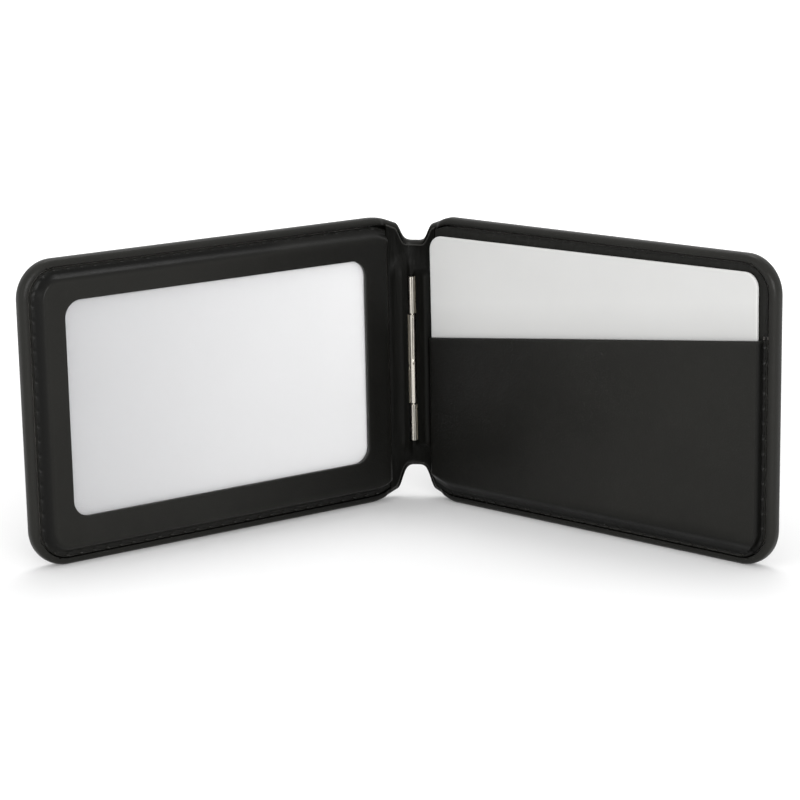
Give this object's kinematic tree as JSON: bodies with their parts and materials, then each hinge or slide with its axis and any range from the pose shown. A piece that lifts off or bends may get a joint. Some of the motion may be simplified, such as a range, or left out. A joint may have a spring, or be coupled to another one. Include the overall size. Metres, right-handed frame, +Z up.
{
  "type": "magnetic phone wallet",
  "caption": "Folding phone wallet: two padded leather panels on a metal hinge, one with a window, one with a slanted card pocket and a ring of magnets",
  "frame": {"origin": "centre of the footprint, on the ground that the wallet stands on", "axes": "+X runs from the cover panel to the pocket panel, +Y from the open side to the spine, +Z up along the hinge"},
  "size_m": [0.1528, 0.06, 0.064],
  "materials": {
    "black_leather": "smooth black leather, low sheen",
    "black_lining": "fine black lining cloth",
    "black_thread": "black sewing thread",
    "nickel_steel": "nickel plated, warm",
    "magnet_metal": "nickel plated magnet",
    "shield_steel": "plain steel sheet",
    "board_fibre": "grey fibre board",
    "foam_sponge": "soft grey foam",
    "clear_film": "clear plastic film",
    "blank_card": "blank pale card"
  },
  "bodies": {
    "pocket_panel": {"alignment_magnet": "magnet_metal", "hinge_leaf_pocket_side": "nickel_steel", "hinge_pin": "nickel_steel", "pocket_back_leather": "black_leather", "pocket_board": "board_fibre", "pocket_closure_magnet_lower": "magnet_metal", "pocket_closure_magnet_upper": "magnet_metal", "pocket_foam_pad": "foam_sponge", "pocket_leather": "black_leather", "pocket_lining": "black_lining", "pocket_rivet_1": "nickel_steel", "pocket_rivet_2": "nickel_steel", "pocket_rivet_3": "nickel_steel", "pocket_seam_thread": "black_thread", "ring_magnet_01": "magnet_metal", "ring_magnet_02": "magnet_metal", "ring_magnet_03": "magnet_metal", "ring_magnet_04": "magnet_metal", "ring_magnet_05": "magnet_metal", "ring_magnet_06": "magnet_metal", "ring_magnet_07": "magnet_metal", "ring_magnet_08": "magnet_metal", "ring_magnet_09": "magnet_metal", "ring_magnet_10": "magnet_metal", "ring_magnet_11": "magnet_metal", "ring_magnet_12": "magnet_metal", "ring_magnet_13": "magnet_metal", "ring_magnet_14": "magnet_metal", "ring_magnet_15": "magnet_metal", "ring_magnet_16": "magnet_metal", "shield_ring": "shield_steel", "spine_leather": "black_leather", "spine_lining": "black_leather"},
    "cover_panel": {"cover_back_leather": "black_leather", "cover_board": "board_fibre", "cover_closure_magnet_lower": "magnet_metal", "cover_closure_magnet_upper": "magnet_metal", "cover_foam_pad": "foam_sponge", "cover_rivet_1": "nickel_steel", "cover_rivet_2": "nickel_steel", "cover_rivet_3": "nickel_steel", "cover_seam_thread": "black_thread", "hinge_leaf_cover_side": "nickel_steel", "window_film": "clear_film", "window_frame_leather": "black_leather", "window_insert": "blank_card"},
    "card": {"card": "blank_card"}
  },
  "joints": [
    {"name": "fold", "type": "hinge", "parent": "pocket_panel", "child": "cover_panel", "pos_m": [0, 0.02619, 0.03199], "axis": [0, 0, 1], "range_deg": [-76.7, 103.3], "deforming": ["spine_leather", "spine_lining"]},
    {"name": "card_slide", "type": "slide", "parent": "pocket_panel", "child": "card", "axis": [0, 0, 1], "range_m": [0, 0.03]}
  ]
}
